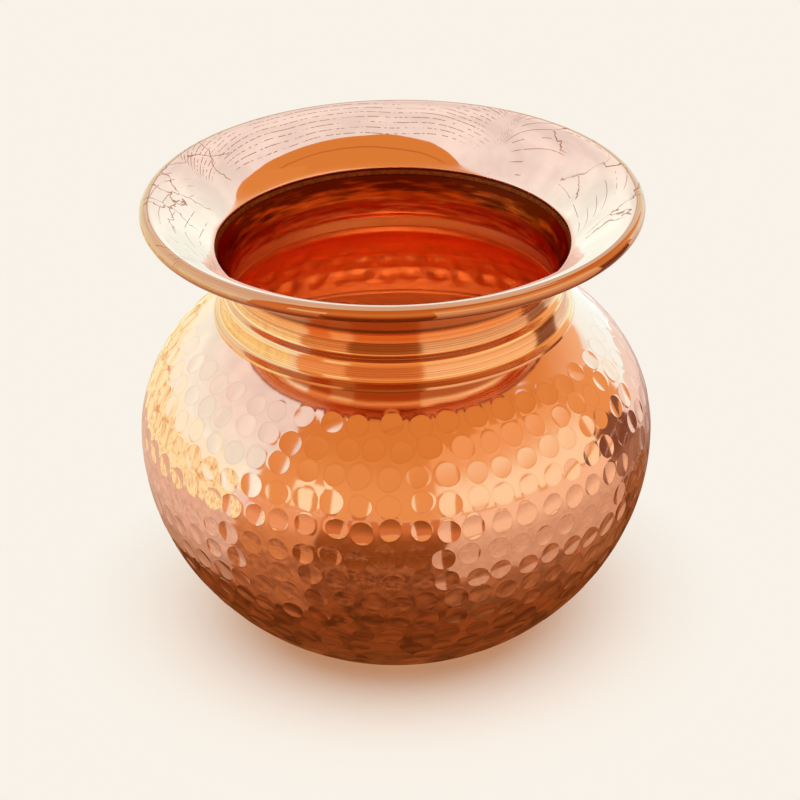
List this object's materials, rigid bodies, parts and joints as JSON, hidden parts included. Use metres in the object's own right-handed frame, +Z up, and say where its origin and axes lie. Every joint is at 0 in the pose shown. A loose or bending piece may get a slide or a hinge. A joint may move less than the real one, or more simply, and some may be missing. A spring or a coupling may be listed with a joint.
{
  "type": "kalash",
  "caption": "Round-bellied hammered copper water pot with a stepped neck, a wide flared mouth with a rolled edge, and a flat seat.",
  "frame": {"origin": "centre of the flat seat's underside, on the surface that the pot stands on", "axes": "+Z up along the pot's axis of revolution, towards the mouth; +X and +Y any two level directions, since the pot is round"},
  "size_m": [0.13, 0.13, 0.1193],
  "materials": {
    "hammered_copper": "planished and polished copper sheet, with shallow round hammer marks",
    "turned_copper": "spun copper sheet, polished over fine turning lines, matt inside",
    "polished_copper": "mirror-polished copper sheet",
    "wire_copper": "plain drawn copper wire, hidden in the rolled edge",
    "braze": "rough dark braze, left as it ran"
  },
  "bodies": {
    "root": {"base_bowl": "hammered_copper", "shoulder_shell": "hammered_copper", "belly_braze": "braze", "neck_collar": "turned_copper", "neck_braze": "braze", "mouth_flange": "polished_copper", "rim_wire": "wire_copper", "throat_braze": "braze"}
  },
  "joints": []
}
